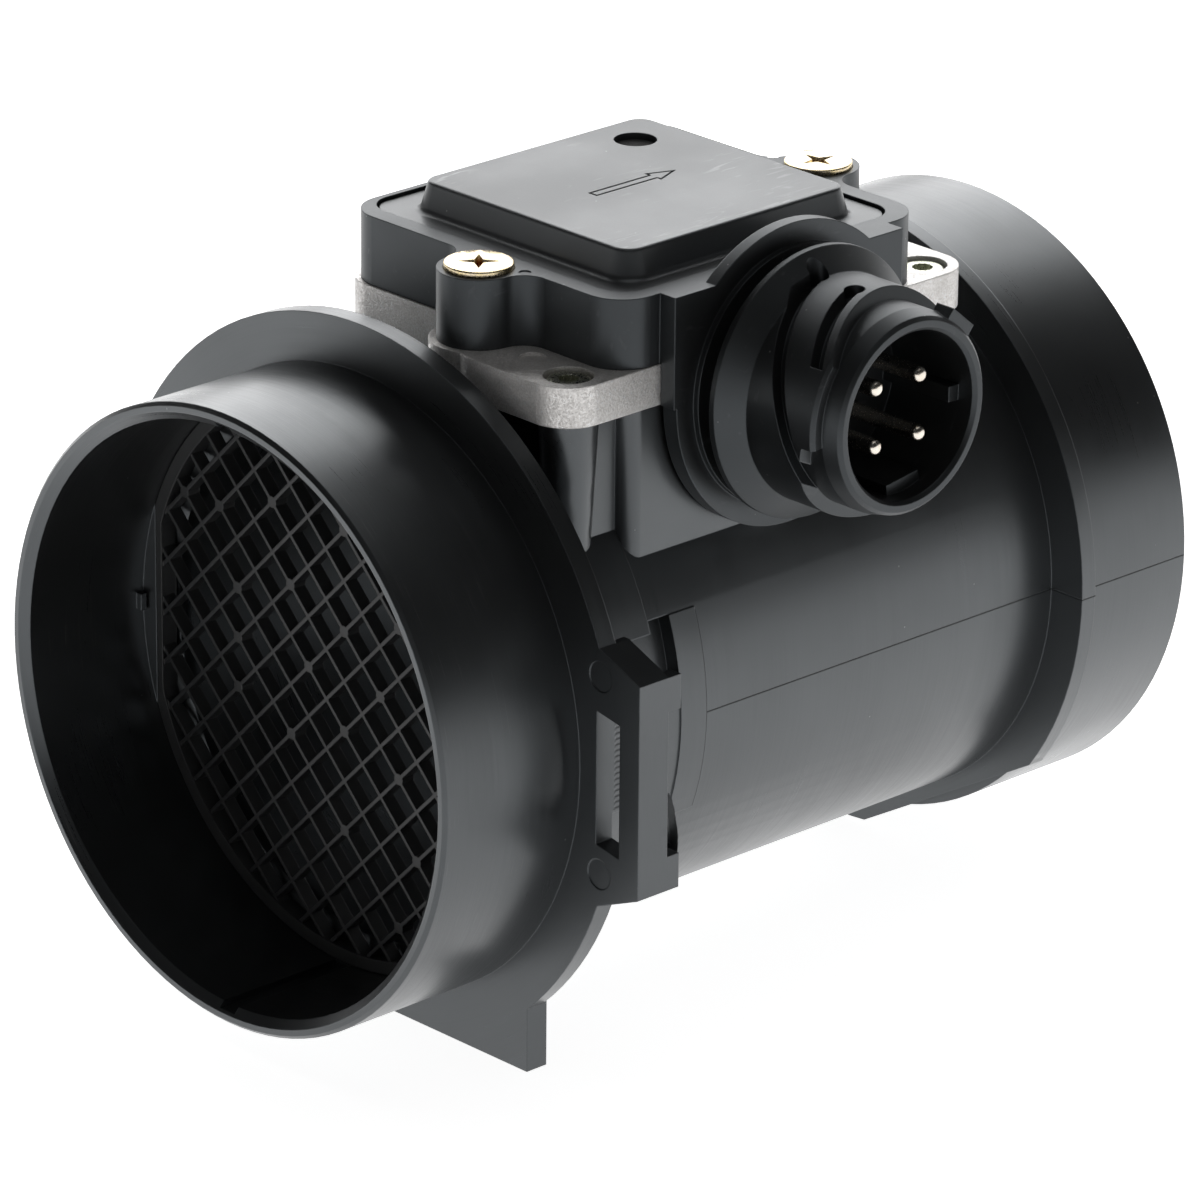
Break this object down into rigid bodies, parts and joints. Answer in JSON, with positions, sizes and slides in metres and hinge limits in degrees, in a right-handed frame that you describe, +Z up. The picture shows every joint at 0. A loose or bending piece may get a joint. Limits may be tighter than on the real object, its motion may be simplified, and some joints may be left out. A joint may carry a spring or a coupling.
{
  "type": "mass airflow sensor",
  "caption": "Round intake duct with a flow grid, a measuring strut and an electronics module on top, with a round bayonet plug socket.",
  "frame": {"origin": "centre of the inlet rim, on the duct's axis", "axes": "+X along the duct, the way the air flows; +Z up to the electronics module; the plug socket points to -Y"},
  "size_m": [0.139, 0.1132, 0.1093],
  "materials": {
    "duct_plastic": "satin black moulded plastic",
    "grid_plastic": "satin black moulded plastic",
    "housing_plastic": "satin black moulded plastic",
    "lid_plastic": "dark grey moulded plastic, lightly scuffed",
    "cast_aluminium": "rough as cast",
    "silver_zinc": "zinc plated",
    "gold_zinc": "yellow zinc plated",
    "tin_plate": "tin plated",
    "seal_rubber": "matt",
    "sealant": "matt",
    "membrane": "matt",
    "board_ceramic": "satin",
    "chip_resin": "matt",
    "capacitor_ceramic": "satin",
    "sensor_plastic": "satin black moulded plastic",
    "element_ceramic": "satin",
    "lead_wire": "bright wire",
    "insulator_resin": "matt"
  },
  "bodies": {
    "root": {"tube_housing": "duct_plastic", "flow_grid": "grid_plastic", "plate_gasket": "seal_rubber", "base_plate": "cast_aluminium", "plate_screws": "silver_zinc", "electronics_housing": "housing_plastic", "housing_seal": "sealant", "housing_screws": "gold_zinc", "lid": "lid_plastic", "lid_seal": "sealant", "vent_membrane": "membrane", "circuit_board": "board_ceramic", "control_chip": "chip_resin", "output_transistor": "chip_resin", "capacitors": "capacitor_ceramic", "resistor_network": "chip_resin", "terminal_1": "tin_plate", "terminal_2": "tin_plate", "terminal_3": "tin_plate", "terminal_4": "tin_plate", "sensor_body": "sensor_plastic", "hot_film_element": "element_ceramic", "temperature_element": "element_ceramic", "sensor_leads": "lead_wire", "lead_insulator": "insulator_resin"}
  },
  "joints": []
}
